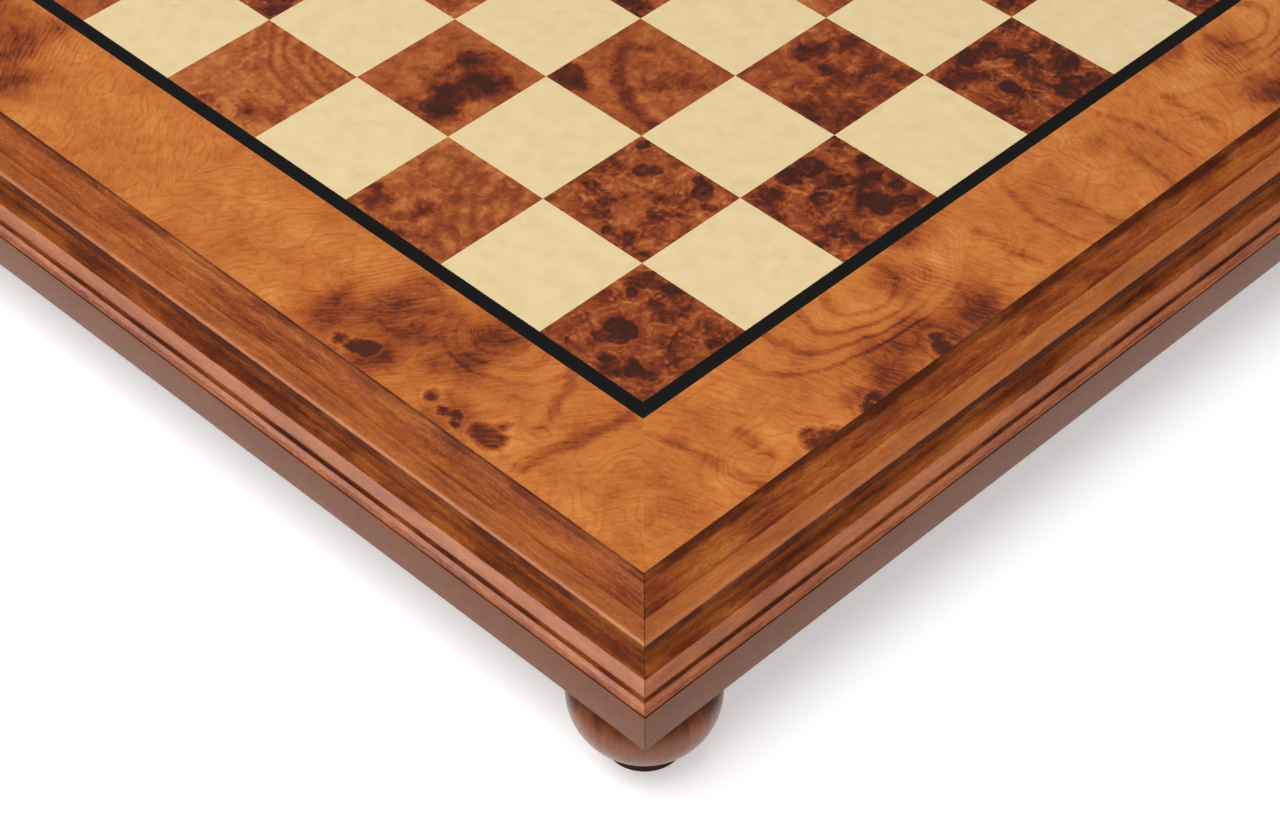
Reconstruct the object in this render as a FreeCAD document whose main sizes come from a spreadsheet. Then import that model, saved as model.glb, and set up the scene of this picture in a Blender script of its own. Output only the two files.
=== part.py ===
import FreeCAD, Part
import math
import os
import Sketcher

# A framed chess board on four ball feet, in millimetres.
# +Z is up, +X is right and +Y is away from the player at the front edge.
# The origin is under the middle of the board, on the surface that the pads stand on.

os.makedirs("parts", exist_ok=True)
doc = FreeCAD.newDocument("ChessBoard")

# Driving dimensions
sizes = {
    # Playing field, its black line and the burl border, from the middle outwards
    "squares_per_side": 8,
    "square_side": 50.0,
    "stringing_width": 5.8,
    "border_width": 50.2,
    # Panel
    "veneer_thickness": 0.8,
    "core_thickness": 12.0,
    "backing_thickness": 0.8,
    "panel_gap": 0.1,
    # Frame rail apart from its moulding
    "rail_height": 34.8,
    "ledge_reach": 10.0,
    "edge_ease": 0.5,
    # Moulding members, from the panel outwards: how far each runs out and how far it drops
    "quirk_out": 0.4,
    "quirk_drop": 0.9,
    "hollow_out": 10.9,
    "hollow_drop": 2.6,
    "hollow_depth": 0.3,
    "lip_out": 1.2,
    "lip_rise": 0.3,
    "shoulder_out": 5.3,
    "shoulder_drop": 1.2,
    "nose_radius": 2.4,
    "riser_drop": 5.2,
    "cove_radius": 0.6,
    "step_out": 3.7,
    "step_drop": 0.3,
    "slope_out": 3.7,
    "slope_drop": 2.3,
    "groove_wall_out": 0.1,
    "groove_drop": 1.7,
    "groove_floor_out": 0.7,
    "bead_top_out": 1.5,
    "bead_top_drop": 0.5,
    "bead_radius": 1.0,
    "bead_wall_drop": 0.8,
    "shelf_out": 0.4,
    # Loose tongue across each mitre
    "tongue_thickness": 3.0,
    "tongue_width": 16.0,
    "tongue_inner_cover": 8.0,
    "tongue_outer_cover": 11.5,
    "tongue_top_cover": 2.6,
    # Ball foot, slightly flattened: its outline is an arc whose middle is off the foot's axis
    "foot_radius": 26.1,
    "foot_arc_offset": 2.1,
    "foot_base_radius": 13.7,
    "foot_height": 32.5,
    "foot_setback": 26.5,
    # Foot pad
    "pad_thickness": 5.5,
    "pad_inset": 0.1,
    # Foot screw and its holes
    "screw_shank_radius": 2.25,
    "screw_tip_length": 4.0,
    "screw_tip_radius": 0.4,
    "screw_head_radius": 4.4,
    "screw_head_edge": 0.8,
    "screw_head_crown": 1.8,
    "head_depth": 11.8,
    "pilot_spare": 1.0,
    "pilot_cover": 1.9,
    "shank_clearance": 0.25,
    "head_clearance": 1.1,
    # How far a cutting shape runs past what it cuts
    "overrun": 5.0,
}

sheet = doc.addObject("Spreadsheet::Sheet", "Sizes")
for row, (word, number) in enumerate(sizes.items(), start=1):
    sheet.set(f"A{row}", word)
    sheet.set(f"B{row}", str(number))
    sheet.setAlias(f"B{row}", word)
doc.recompute()


class Dim:
    """A size worked out from the sheet: its number, and the expression that binds a property to it."""

    def __init__(self, number, text=None):
        self.number = number
        self.text = text or str(number)

    def __add__(self, other):
        return Dim(self.number + other.number, f"({self.text} + {other.text})")

    def __sub__(self, other):
        return Dim(self.number - other.number, f"({self.text} - {other.text})")

    def __mul__(self, other):
        other = other if isinstance(other, Dim) else Dim(other)
        return Dim(self.number * other.number, f"({self.text} * {other.text})")

    def __truediv__(self, other):
        other = other if isinstance(other, Dim) else Dim(other)
        return Dim(self.number / other.number, f"({self.text} / {other.text})")

    def __neg__(self):
        return Dim(-self.number, f"(-{self.text})")

    def bind(self, item, path):
        item.setExpression(path, self.text)


def size(word):
    return Dim(sizes[word], f"Sizes.{word}")


def root(square):
    return Dim(math.sqrt(square.number), f"sqrt({square.text})")


def short_side(long_side, other_side):
    """The second short side of a right triangle."""
    return root(long_side * long_side - other_side * other_side)


nothing = Dim(0)
count = sizes["squares_per_side"]
# A quarter circle bulges this share of its radius from the line between its ends
quarter_bulge_share = 1 - math.sqrt(0.5)

# Distances from the middle of the board
half_field = size("square_side") * count / 2
half_stringing = half_field + size("stringing_width")
half_panel = half_stringing + size("border_width")
rail_inside = half_panel + size("panel_gap")
ledge_inside = rail_inside - size("ledge_reach")

# Each moulding member as (out, up) or (out, up, bulge): a bulge swells out of the wood, and a
# negative one is hollowed into it
moulding = [
    (size("quirk_out"), -size("quirk_drop")),
    (size("hollow_out"), -size("hollow_drop"), -size("hollow_depth")),
    (size("lip_out"), size("lip_rise")),
    (size("shoulder_out"), -size("shoulder_drop")),
    (size("nose_radius"), -size("nose_radius"), size("nose_radius") * quarter_bulge_share),
    (None, -size("riser_drop")),
    (size("cove_radius"), -size("cove_radius"), -size("cove_radius") * quarter_bulge_share),
    (size("step_out"), -size("step_drop")),
    (size("slope_out"), -size("slope_drop")),
    (size("groove_wall_out"), -size("groove_drop")),
    (size("groove_floor_out"), None),
    (size("bead_top_out"), -size("bead_top_drop")),
    (size("bead_radius"), -size("bead_radius"), size("bead_radius") * quarter_bulge_share),
    (None, -size("bead_wall_drop")),
    (size("shelf_out"), None),
]
moulding_out = nothing
moulding_drop = nothing
for out, up, *_ in moulding:
    moulding_out = moulding_out + (out or nothing)
    moulding_drop = moulding_drop - (up or nothing)
half_board = rail_inside + moulding_out

# Heights above the surface that the board stands on
rail_bottom = size("pad_thickness") + size("foot_height")
board_top = rail_bottom + size("rail_height")
core_top = board_top - size("veneer_thickness")
core_bottom = core_top - size("core_thickness")
ledge_top = core_bottom - size("backing_thickness")
tongue_bottom = ledge_top - size("tongue_top_cover") - size("tongue_thickness")

# The tongue lies along the mitre, which is a diagonal of the board
tongue_near = ledge_inside + size("tongue_inner_cover")
tongue_far = half_board - size("tongue_outer_cover")
tongue_length = (tongue_far - tongue_near) * math.sqrt(2)

# Foot and screw: the pilot hole ends under the tongue, and the screw ends short of it
foot_place = half_board - size("foot_setback")
foot_arc_radius = size("foot_radius") - size("foot_arc_offset")
ball_middle = short_side(foot_arc_radius, size("foot_base_radius") - size("foot_arc_offset"))
foot_top_radius = size("foot_arc_offset") + short_side(foot_arc_radius, size("foot_height") - ball_middle)
pilot_depth = tongue_bottom - size("pilot_cover") - rail_bottom
screw_length = size("foot_height") - size("head_depth") + pilot_depth - size("pilot_spare")

# Which way each corner lies from the middle
corner_signs = {
    "front_left": (-1, -1),
    "front_right": (1, -1),
    "back_right": (1, 1),
    "back_left": (-1, 1),
}
# How far each side is turned from the back one, in degrees
side_turns = {"back": 0, "left": 90, "front": 180, "right": 270}
# The two ends of each side, the one on the right of someone facing out of the board last
side_ends = {
    "back": ("left", "right"),
    "left": ("front", "back"),
    "front": ("right", "left"),
    "right": ("back", "front"),
}
up_axis = FreeCAD.Vector(0, 0, 1)
nodes = []
cuts = []


def keep(item, name):
    """Gives a finished piece the name of its node."""
    item.Label = name
    nodes.append(item)


def place(item, across, along, height, turn=0):
    """Binds a piece's place to the sheet and turns it about the vertical."""
    item.Placement.Rotation = FreeCAD.Rotation(up_axis, turn)
    across.bind(item, "Placement.Base.x")
    along.bind(item, "Placement.Base.y")
    height.bind(item, "Placement.Base.z")


def own_plane(body, role):
    return next(f for f in body.Origin.OriginFeatures if f.Role == role)


def new_sketch(body, name, role, lift=nothing):
    sketch = body.newObject("Sketcher::SketchObject", name)
    sketch.AttachmentSupport = [(own_plane(body, role), "")]
    sketch.MapMode = "FlatFace"
    lift.bind(sketch, "AttachmentOffset.Base.z")
    return sketch


def dimension(sketch, kind, ends, dim, name):
    """Adds one named dimension to a sketch and binds it to the sheet."""
    index = sketch.addConstraint(Sketcher.Constraint(kind, *ends, dim.number))
    sketch.renameConstraint(index, name)
    dim.bind(sketch, f"Constraints.{name}")


def bulge_radius(across, up, bulge):
    """The radius of the arc that stands this far off the middle of the line between its ends."""
    half_squared = (across * across + up * up) / 4
    return (half_squared + bulge * bulge) / bulge / 2


def arc_bulge(radius, across, up):
    """How far an arc of this radius stands off the middle of the line between its ends."""
    return radius - short_side(radius, root((across * across + up * up) / 4))


def arc_between(start, end, bulge):
    """The arc from start to end that stands off to the left of the way by bulge, or to the right."""
    chord = end - start
    radius = (chord.Length**2 / 4 + bulge**2) / bulge / 2
    left = FreeCAD.Vector(-chord.y, chord.x, 0).normalize()
    centre = (start + end) * 0.5 + left * (bulge - radius)
    first, last = (end, start) if bulge > 0 else (start, end)
    first_angle = math.atan2(first.y - centre.y, first.x - centre.x)
    last_angle = math.atan2(last.y - centre.y, last.x - centre.x)
    if last_angle < first_angle:
        last_angle += 2 * math.pi
    return Part.ArcOfCircle(Part.Circle(centre, up_axis, abs(radius)), first_angle, last_angle)


def draw_outline(sketch, start, moves):
    """A closed outline, wood on the right of the way it goes: a start corner, then one edge for
    each move of (across, up) or (across, up, bulge). One more straight edge closes it."""
    corner = FreeCAD.Vector(start[0].number, start[1].number, 0)
    first_corner = corner
    ends = []
    for across, up, *bulge in moves:
        step = FreeCAD.Vector((across or nothing).number, (up or nothing).number, 0)
        if bulge:
            sketch.addGeometry(arc_between(corner, corner + step, bulge[0].number), False)
        else:
            sketch.addGeometry(Part.LineSegment(corner, corner + step), False)
        # An arc is drawn anticlockwise, so one that bulges to the left starts at its far end
        backwards = bulge and bulge[0].number > 0
        ends.append((2, 1) if backwards else (1, 2))
        corner = corner + step
    sketch.addGeometry(Part.LineSegment(corner, first_corner), False)
    ends.append((1, 2))

    for index, (_, end) in enumerate(ends):
        after = (index + 1) % len(ends)
        sketch.addConstraint(Sketcher.Constraint("Coincident", index, end, after, ends[after][0]))
    from_origin = (-1, 1, 0, ends[0][0])
    dimension(sketch, "DistanceX", from_origin, start[0], "start_across")
    dimension(sketch, "DistanceY", from_origin, start[1], "start_up")
    for index, (across, up, *bulge) in enumerate(moves):
        here_to_there = (index, ends[index][0], index, ends[index][1])
        if across:
            dimension(sketch, "DistanceX", here_to_there, across, f"across_{index}")
        else:
            sketch.addConstraint(Sketcher.Constraint("Vertical", index))
        if up:
            dimension(sketch, "DistanceY", here_to_there, up, f"up_{index}")
        else:
            sketch.addConstraint(Sketcher.Constraint("Horizontal", index))
        if bulge:
            radius = bulge_radius(across, up, bulge[0] if bulge[0].number > 0 else -bulge[0])
            dimension(sketch, "Radius", (index,), radius, f"radius_{index}")


def draw_circle(sketch, radius, place_on_mitre=nothing):
    """A circle whose centre is as far along the first axis as along the second."""
    centre = FreeCAD.Vector(place_on_mitre.number, place_on_mitre.number, 0)
    sketch.addGeometry(Part.Circle(centre, up_axis, radius.number), False)
    dimension(sketch, "Radius", (0,), radius, "radius")
    dimension(sketch, "DistanceX", (-1, 1, 0, 3), place_on_mitre, "across")
    dimension(sketch, "DistanceY", (-1, 1, 0, 3), place_on_mitre, "up")


def extrude(body, sketch, length, name, both_ways=False):
    feature = body.newObject("PartDesign::Pad", name)
    feature.Profile = sketch
    feature.Midplane = both_ways
    length.bind(feature, "Length")
    return feature


def cut(body, sketch, depth, name, upwards=False):
    """Takes a sketch's outline out of the wood below its plane, or above it."""
    feature = body.newObject("PartDesign::Pocket", name)
    feature.Profile = sketch
    feature.Reversed = upwards
    depth.bind(feature, "Length")
    return feature


def turned(body, sketch, name):
    """Turns a sketch on the XZ plane once about the upright axis."""
    feature = body.newObject("PartDesign::Revolution", name)
    feature.Profile = sketch
    feature.ReferenceAxis = (sketch, ["V_Axis"])
    feature.Angle = 360
    return feature


def rank_squares(rank, shade, first_file):
    """Every second veneer square of one rank, all of one shade."""
    squares = []
    for file_index in range(first_file, count, 2):
        square = doc.addObject("Part::Box", f"square_{rank}_{file_index + 1}")
        size("square_side").bind(square, "Length")
        size("square_side").bind(square, "Width")
        size("veneer_thickness").bind(square, "Height")
        across = size("square_side") * file_index - half_field
        along = size("square_side") * (rank - 1) - half_field
        place(square, across, along, core_top)
        squares.append(square)
    group = doc.addObject("Part::Compound", f"squares_of_{rank}_{shade}")
    group.Links = squares
    keep(group, f"rank_{rank}_{shade}_squares")


def top_strip(name, start, moves, side):
    """A strip of veneer, cut to an outline drawn for the back side and turned to its own side."""
    body = doc.addObject("PartDesign::Body", name)
    sketch = new_sketch(body, f"{name}_outline", "XY_Plane")
    draw_outline(sketch, start, moves)
    extrude(body, sketch, size("veneer_thickness"), f"{name}_veneer")
    place(body, nothing, nothing, core_top, side_turns[side])
    keep(body, name)


def stringing(side):
    """A black strip, mitred at both ends."""
    width = size("stringing_width")
    start = (-half_field, half_field)
    moves = [(-width, width), (half_stringing * 2, None), (-width, -width)]
    top_strip(f"stringing_{side}", start, moves, side)


def border_half(side, end, way):
    """Half of one side of the border, mitred at its corner and butted in the middle of the side."""
    width = size("border_width")
    start = (half_stringing * way, half_stringing)
    moves = [(width * way, width), (-half_panel * way, None), (None, -width)]
    top_strip(f"border_{side}_{end}", start, moves, side)


def panel_layer(name, height, thickness):
    layer = doc.addObject("Part::Box", name)
    (half_panel * 2).bind(layer, "Length")
    (half_panel * 2).bind(layer, "Width")
    thickness.bind(layer, "Height")
    place(layer, -half_panel, -half_panel, height)
    keep(layer, name)


def frame_rail(side):
    """A moulded rail with a ledge under the panel, mitred at both ends."""
    body = doc.addObject("PartDesign::Body", f"rail_{side}")
    section = new_sketch(body, f"section_{side}", "YZ_Plane")
    ease = size("edge_ease")
    moves = moulding + [
        (None, moulding_drop + ease - size("rail_height")),
        (-ease, -ease),
        (ledge_inside - half_board + ease, None),
        (None, ledge_top - rail_bottom),
        (size("ledge_reach"), None),
    ]
    draw_outline(section, (rail_inside, board_top), moves)
    whole = extrude(body, section, half_board * 2, f"length_{side}", both_ways=True)

    # What one mitre takes off, the tongue's slot and half of the foot screw's pilot hole
    past = size("overrun")
    mitre = new_sketch(body, f"mitre_{side}", "XY_Plane", board_top + past)
    reach = half_board - ledge_inside + past * 2
    start = (ledge_inside - past, ledge_inside - past)
    draw_outline(mitre, start, [(reach, reach), (None, -reach)])
    mitred = cut(body, mitre, size("rail_height") + past * 2, f"waste_{side}")

    slot = new_sketch(body, f"slot_{side}", "XY_Plane", tongue_bottom)
    aside = size("tongue_width") / 2 * math.sqrt(0.5)
    onward = tongue_far - tongue_near
    start = (tongue_near + aside, tongue_near - aside)
    moves = [(-aside * 2, aside * 2), (onward, onward), (aside * 2, -aside * 2)]
    draw_outline(slot, start, moves)
    slotted = cut(body, slot, size("tongue_thickness"), f"tongue_slot_{side}", upwards=True)

    hole = new_sketch(body, f"hole_{side}", "XY_Plane", rail_bottom)
    draw_circle(hole, size("screw_shank_radius"), foot_place)
    bored = cut(body, hole, pilot_depth, f"pilot_{side}", upwards=True)

    both_ends = body.newObject("PartDesign::Mirrored", f"other_end_{side}")
    both_ends.Originals = [mitred, slotted, bored]
    both_ends.MirrorPlane = (own_plane(body, "YZ_Plane"), [""])
    body.Tip = both_ends
    place(body, nothing, nothing, nothing, side_turns[side])
    cuts.append((whole, mitred, slotted, bored, both_ends))
    keep(body, f"frame_rail_{side}")


def mitre_spline(corner):
    """The loose tongue glued into the slots of two rails."""
    across, along = corner_signs[corner]
    tongue = doc.addObject("Part::Box", f"tongue_{corner}")
    tongue_length.bind(tongue, "Length")
    size("tongue_width").bind(tongue, "Width")
    size("tongue_thickness").bind(tongue, "Height")
    # A box is placed by its own corner, which lies half its width to the right of the mitre
    aside = size("tongue_width") / 2 * math.sqrt(0.5)
    x = tongue_near * across + aside * along
    y = tongue_near * along - aside * across
    place(tongue, x, y, tongue_bottom, math.degrees(math.atan2(along, across)))
    keep(tongue, f"mitre_spline_{corner}")


def foot(corner):
    """A turned ball, cut flat at the frame and at the pad, and bored for its screw."""
    body = doc.addObject("PartDesign::Body", f"ball_foot_{corner}")
    profile = new_sketch(body, f"ball_{corner}", "XZ_Plane")
    taper = size("foot_base_radius") - foot_top_radius
    moves = [
        (foot_top_radius, None),
        (taper, -size("foot_height"), arc_bulge(foot_arc_radius, taper, size("foot_height"))),
        (-size("foot_base_radius"), None),
    ]
    draw_outline(profile, (nothing, size("foot_height")), moves)
    ball = turned(body, profile, f"turning_{corner}")

    bore = new_sketch(body, f"bore_{corner}", "XY_Plane")
    draw_circle(bore, size("screw_shank_radius") + size("shank_clearance"))
    through = size("foot_height") + size("overrun")
    bored = cut(body, bore, through, f"through_{corner}", upwards=True)
    sink = new_sketch(body, f"sink_{corner}", "XY_Plane")
    draw_circle(sink, size("screw_head_radius") + size("head_clearance"))
    sunk = cut(body, sink, size("head_depth"), f"counterbore_{corner}", upwards=True)
    cuts.append((ball, bored, sunk))
    across, along = corner_signs[corner]
    place(body, foot_place * across, foot_place * along, size("pad_thickness"))
    keep(body, f"foot_{corner}")


def foot_screw(corner):
    """A round-headed wood screw, its thread left plain, from the foot up into the mitre."""
    body = doc.addObject("PartDesign::Body", f"wood_screw_{corner}")
    profile = new_sketch(body, f"screw_{corner}", "XZ_Plane")
    shank, tip = size("screw_shank_radius"), size("screw_tip_length")
    point, head = size("screw_tip_radius"), size("screw_head_radius")
    # One arc crosses the whole head, and half of it is drawn
    crown = size("screw_head_crown")
    crown_radius = bulge_radius(head * 2, nothing, crown)
    moves = [
        (point, None),
        (shank - point, -tip),
        (None, tip - screw_length),
        (head - shank, None),
        (None, -size("screw_head_edge")),
        (-head, -crown, arc_bulge(crown_radius, head, crown)),
    ]
    draw_outline(profile, (nothing, screw_length), moves)
    turned(body, profile, f"turned_screw_{corner}")
    across, along = corner_signs[corner]
    seat = size("pad_thickness") + size("head_depth")
    place(body, foot_place * across, foot_place * along, seat)
    keep(body, f"foot_screw_{corner}")


def foot_pad(corner):
    """The dark disc glued under a foot."""
    disc = doc.addObject("Part::Cylinder", f"disc_{corner}")
    (size("foot_base_radius") - size("pad_inset")).bind(disc, "Radius")
    size("pad_thickness").bind(disc, "Height")
    across, along = corner_signs[corner]
    place(disc, foot_place * across, foot_place * along, nothing)
    keep(disc, f"foot_pad_{corner}")


# The board, from its playing surface down to its pads
for rank in range(1, count + 1):
    rank_squares(rank, "dark", (rank - 1) % 2)
    rank_squares(rank, "light", rank % 2)
for side, (left_end, right_end) in side_ends.items():
    stringing(side)
    border_half(side, left_end, -1)
    border_half(side, right_end, 1)
    frame_rail(side)
panel_layer("core_panel", core_bottom, size("core_thickness"))
panel_layer("backing_veneer", ledge_top, size("backing_thickness"))
for corner in corner_signs:
    mitre_spline(corner)
    foot(corner)
    foot_screw(corner)
    foot_pad(corner)
doc.recompute()

# Every object has to be sound, and every cut has to have taken wood away
for item in doc.Objects:
    if any(word in item.State for word in ("Invalid", "Error")):
        raise RuntimeError(f"{item.Label} failed: {item.State}")
for steps in cuts:
    for before, after in zip(steps, steps[1:]):
        if after.Shape.Volume >= before.Shape.Volume:
            raise RuntimeError(f"{after.Label} takes nothing away")
for node in nodes:
    if node.Shape.isNull() or not node.Shape.isValid():
        raise RuntimeError(f"{node.Label} has no sound shape")

for node in nodes:
    node.Shape.exportStep(f"parts/{node.Label}.step")
side_length, height = half_board.number * 2, board_top.number
print(f"{len(nodes)} nodes, {side_length:.1f} mm square and {height:.1f} mm high")
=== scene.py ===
import math
import random

import bmesh
import bpy
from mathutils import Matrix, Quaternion, Vector


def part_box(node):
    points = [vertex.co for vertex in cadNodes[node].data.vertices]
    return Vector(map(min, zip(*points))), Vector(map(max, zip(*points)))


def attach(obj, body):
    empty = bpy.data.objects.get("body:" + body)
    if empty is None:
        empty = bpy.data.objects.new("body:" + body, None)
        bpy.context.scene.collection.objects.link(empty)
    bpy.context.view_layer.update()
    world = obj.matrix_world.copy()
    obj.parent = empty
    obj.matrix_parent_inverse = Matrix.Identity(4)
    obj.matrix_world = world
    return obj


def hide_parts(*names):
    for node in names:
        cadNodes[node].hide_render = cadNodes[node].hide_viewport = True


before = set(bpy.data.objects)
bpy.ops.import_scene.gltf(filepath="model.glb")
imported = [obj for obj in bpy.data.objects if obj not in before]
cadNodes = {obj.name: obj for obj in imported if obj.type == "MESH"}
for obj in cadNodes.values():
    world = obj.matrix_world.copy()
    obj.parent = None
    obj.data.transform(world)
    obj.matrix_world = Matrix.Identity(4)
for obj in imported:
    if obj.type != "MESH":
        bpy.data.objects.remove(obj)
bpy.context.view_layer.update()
mm = 0.001
print("frame loaded:", len(cadNodes), "nodes")

# places that the looks are built from, read off the frame
fieldLow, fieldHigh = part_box("rank_1_dark_squares")
squareSide = fieldHigh.y - fieldLow.y
halfField = -fieldLow.y
veneerBottom, veneerTop = fieldLow.z, fieldHigh.z
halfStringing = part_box("stringing_back")[1].y
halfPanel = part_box("border_back_left")[1].y
railLow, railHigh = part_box("frame_rail_back")

squaresPerSide = round(2 * halfField / squareSide)
sideTurns = {"back": 0, "left": 90, "front": 180, "right": 270}
cornerWays = {"front_left": (-1, -1), "front_right": (1, -1), "back_right": (1, 1), "back_left": (-1, 1)}


# colours, mesh and materials
def shade(red, green, blue):
    # 0-255 screen colour to the linear values that a shader takes
    def linear(value):
        value /= 255
        return value / 12.92 if value <= 0.04045 else ((value + 0.055) / 1.055) ** 2.4

    return (linear(red), linear(green), linear(blue), 1)


class Finish:
    # one material, or the world's look, and the nodes it is mixed from; sizes are in mm

    def __init__(self, name, world=None):
        self.material = world or bpy.data.materials.new(name)
        self.material.use_nodes = True
        self.tree = self.material.node_tree
        self.tree.nodes.clear()

    def node(self, kind, inputs=(), **settings):
        made = self.tree.nodes.new(kind)
        for setting, value in settings.items():
            setattr(made, setting, value)
        for key, value in dict(inputs).items():
            if isinstance(value, bpy.types.NodeSocket):
                self.tree.links.new(value, made.inputs[key])
            else:
                made.inputs[key].default_value = value
        return made

    def place(self, attribute):
        return self.node("ShaderNodeAttribute", attribute_name=attribute).outputs["Vector"]

    def amount(self, attribute):
        return self.node("ShaderNodeAttribute", attribute_name=attribute).outputs["Fac"]

    def calc(self, operation, *values):
        return self.node("ShaderNodeMath", enumerate(values), operation=operation).outputs[0]

    def vector(self, operation, *values):
        made = self.node("ShaderNodeVectorMath", enumerate(values), operation=operation)
        return made.outputs["Value" if operation in ("DISTANCE", "LENGTH", "DOT_PRODUCT") else "Vector"]

    def stretched(self, place, along, across, up):
        # squeezes the place so that a pattern on it comes out this long, wide and deep
        return self.vector("MULTIPLY", place, (1 / along, 1 / across, 1 / up))

    def cadPlace(self):
        # the place in mm on a CAD piece, whose mesh carries no numbers of its own
        return self.stretched(self.node("ShaderNodeTexCoord").outputs["Object"], mm, mm, mm)

    def noise(self, place, size, detail=2.0, rough=0.5, colour=False):
        settings = {"Vector": place, "Scale": 1 / size, "Detail": detail, "Roughness": rough}
        return self.node("ShaderNodeTexNoise", settings).outputs["Color" if colour else "Fac"]

    def streaks(self, place, size, detail, rough=0.5):
        # noise whose marks are this long, wide and deep
        return self.noise(self.stretched(place, *size), 1, detail, rough)

    def cells(self, place, size, feature="F1"):
        settings = {"Vector": place, "Scale": 1 / size, "Randomness": 1.0}
        return self.node("ShaderNodeTexVoronoi", settings, feature=feature).outputs["Distance"]

    def warped(self, place, size, reach, detail=1.0):
        # pushes the place about by up to half of reach, in swirls of this size
        push = self.vector("SUBTRACT", self.noise(place, size, detail, colour=True), (0.5, 0.5, 0.5))
        return self.vector("MULTIPLY_ADD", push, (2 * reach, 2 * reach, 0), place)

    def uneven(self, value, noise, reach):
        # moves value by up to half of reach either way, up where the noise is high
        return self.calc("MULTIPLY_ADD", noise, reach, self.calc("SUBTRACT", value, reach / 2))

    def fade(self, value, start, end, low=0.0, high=1.0):
        # runs smoothly from low, where value is start, to high, where it is end
        settings = {"Value": value, "From Min": start, "From Max": end, "To Min": low, "To Max": high}
        return self.node("ShaderNodeMapRange", settings, interpolation_type="SMOOTHSTEP").outputs[0]

    def mark(self, value, marking, share=1.0, soft=1.0):
        # marking is where a mark starts, where it is full and how strong it is there
        start, full, strength = marking
        return self.fade(value, start * soft, full, 0, strength * share)

    def mix(self, share, first, second):
        # the sockets for mixing colours are numbers 6 and 7, and 2 comes out
        return self.node("ShaderNodeMix", {0: share, 6: first, 7: shade(*second)}, data_type="RGBA").outputs[2]

    def ramp(self, value, stops):
        made = self.node("ShaderNodeValToRGB", {"Fac": value})
        points = made.color_ramp.elements
        while len(points) < len(stops):
            points.new(0.5)
        for point, (position, colour) in zip(points, stops):
            point.position = position
            point.color = shade(*colour)
        return made.outputs["Color"]

    def lines(self, value, period, sharpness):
        # thin lines, one each time value grows by period
        wave = self.calc("SINE", self.calc("MULTIPLY", value, math.tau / period))
        return self.calc("POWER", self.calc("MULTIPLY_ADD", wave, 0.5, 0.5), sharpness)

    def joined(self, distances, blend):
        # the least of some distances, which run together within blend
        least = distances[0]
        for distance in distances[1:]:
            least = self.calc("SMOOTH_MIN", least, distance, blend)
        return least

    def nearest(self, place, rounds, blend=1.0):
        # how far the place is outside the nearest of some round spots, each (x, y, radius)
        flat = self.vector("MULTIPLY", place, (1, 1, 0))
        distances = []
        for x, y, radius in rounds:
            distances.append(self.calc("SUBTRACT", self.vector("DISTANCE", flat, (x, y, 0)), radius))
        return self.joined(distances, blend)

    def strokes(self, place, strokes, blend):
        # how far the place is outside the nearest of some soft strokes, each (x, y, toX, toY, half width)
        flat = self.vector("MULTIPLY", place, (1, 1, 0))
        distances = []
        for x, y, toX, toY, halfWidth in strokes:
            run = Vector((toX - x, toY - y, 0))
            fromStart = self.vector("SUBTRACT", flat, (x, y, 0))
            along = self.vector("DOT_PRODUCT", fromStart, run / run.length_squared)
            along = self.node("ShaderNodeClamp", {"Value": along}).outputs[0]
            spot = self.node("ShaderNodeVectorMath", {0: run, "Scale": along}, operation="SCALE")
            away = self.vector("DISTANCE", fromStart, spot.outputs["Vector"])
            distances.append(self.calc("SUBTRACT", away, halfWidth))
        return self.joined(distances, blend)

    def surface(self, colour, roughness, height, depth, **sockets):
        # the finished material; height, from 0 to 1, raises it by up to depth in mm
        bump = self.node("ShaderNodeBump", {"Height": height, "Distance": depth * mm, "Strength": 1.0})
        inputs = {"Base Color": colour, "Roughness": roughness, "Normal": bump.outputs["Normal"], **sockets}
        shader = self.node("ShaderNodeBsdfPrincipled", inputs)
        self.node("ShaderNodeOutputMaterial", {"Surface": shader.outputs["BSDF"]})
        return self.material


def newPiece(name, points, faces, material, replaced, numbers, smoothBelow=None):
    # points in metres; numbers are values that the material reads at each point
    mesh = bpy.data.meshes.new(name)
    mesh.from_pydata(points, [], faces)
    shell = bmesh.new()
    shell.from_mesh(mesh)
    bmesh.ops.recalc_face_normals(shell, faces=shell.faces)
    shell.to_mesh(mesh)
    shell.free()
    for attribute, values in numbers.items():
        if isinstance(values[0], (int, float)):
            mesh.attributes.new(attribute, "FLOAT", "POINT").data.foreach_set("value", values)
        else:
            flat = [number for value in values for number in value]
            mesh.attributes.new(attribute, "FLOAT_VECTOR", "POINT").data.foreach_set("vector", flat)
    if smoothBelow:
        mesh.shade_smooth()
        mesh.set_sharp_from_angle(angle=math.radians(smoothBelow))
    mesh.materials.append(material)
    piece = bpy.data.objects.new(name, mesh)
    bpy.context.scene.collection.objects.link(piece)
    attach(piece, "root")
    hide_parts(*replaced)
    return piece


def wallFaces(rings, count, closed=False):
    # quads between rings of this many points each; closed joins the last ring to the first
    faces = []
    for ring in range(rings if closed else rings - 1):
        here, there = ring * count, (ring + 1) % rings * count
        for index in range(count):
            after = (index + 1) % count
            faces.append([here + index, here + after, there + after, there + index])
    return faces


def shellFaces(rings, count):
    # the same with a face over the first ring and one over the last
    last = (rings - 1) * count
    return [list(range(count))[::-1], list(range(last, last + count))] + wallFaces(rings, count)


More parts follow.
